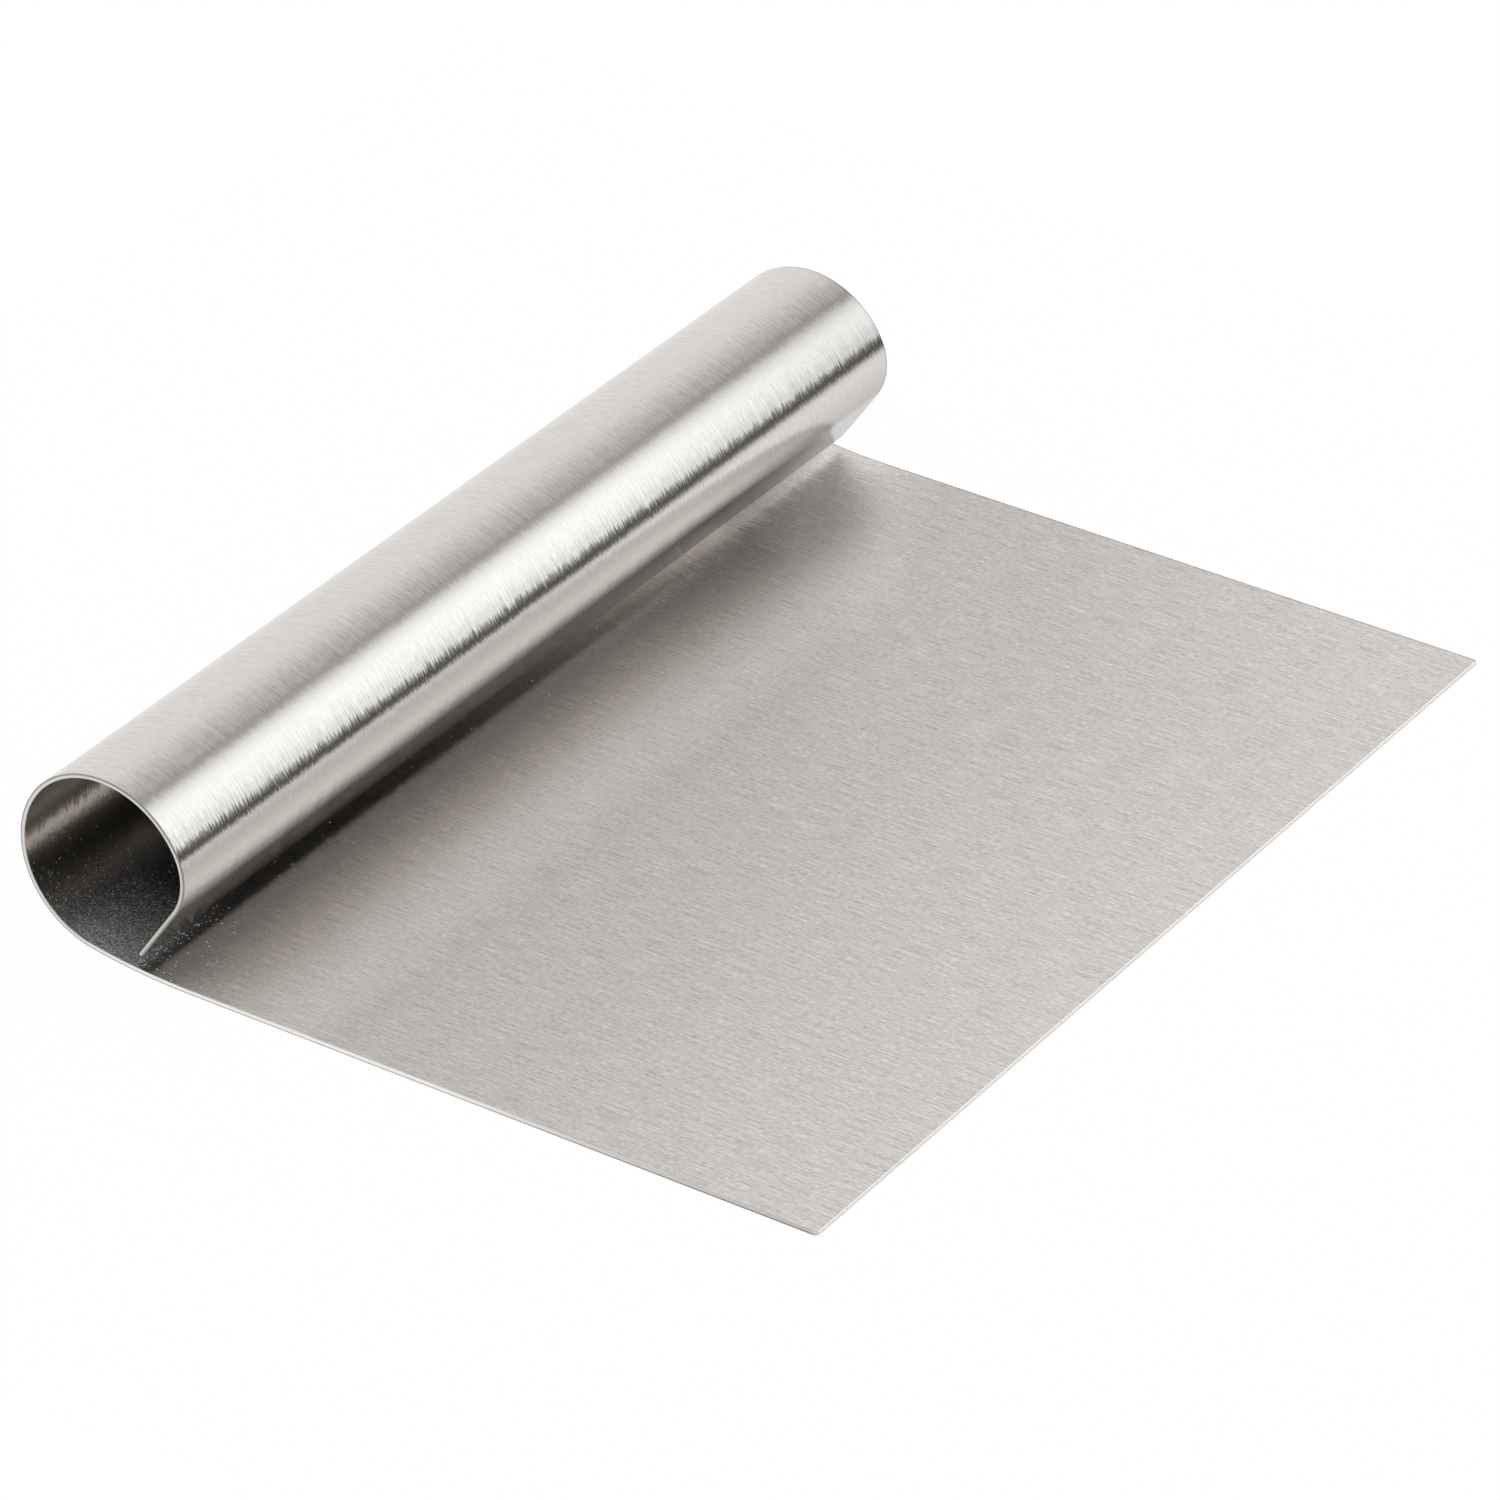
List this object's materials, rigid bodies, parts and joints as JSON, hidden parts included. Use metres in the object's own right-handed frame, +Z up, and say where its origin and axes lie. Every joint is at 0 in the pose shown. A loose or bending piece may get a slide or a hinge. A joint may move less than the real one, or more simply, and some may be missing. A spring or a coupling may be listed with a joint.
{
  "type": "dough scraper",
  "caption": "Dough scraper bent from brushed stainless steel sheet: a flat straight-edged blade whose back rolls over into an open tubular handle that ends in a short free tail.",
  "frame": {"origin": "on the table, under the middle of the scraper's outline", "axes": "+X along the handle, -Y towards the cutting edge, +Z up from the table that the blade lies on"},
  "size_m": [0.15, 0.111, 0.0252],
  "materials": {
    "brushed_steel": "fine linear brushing that runs from the cutting edge to the handle and on round the roll"
  },
  "bodies": {
    "root": {"scraper_sheet": "brushed_steel"}
  },
  "joints": []
}
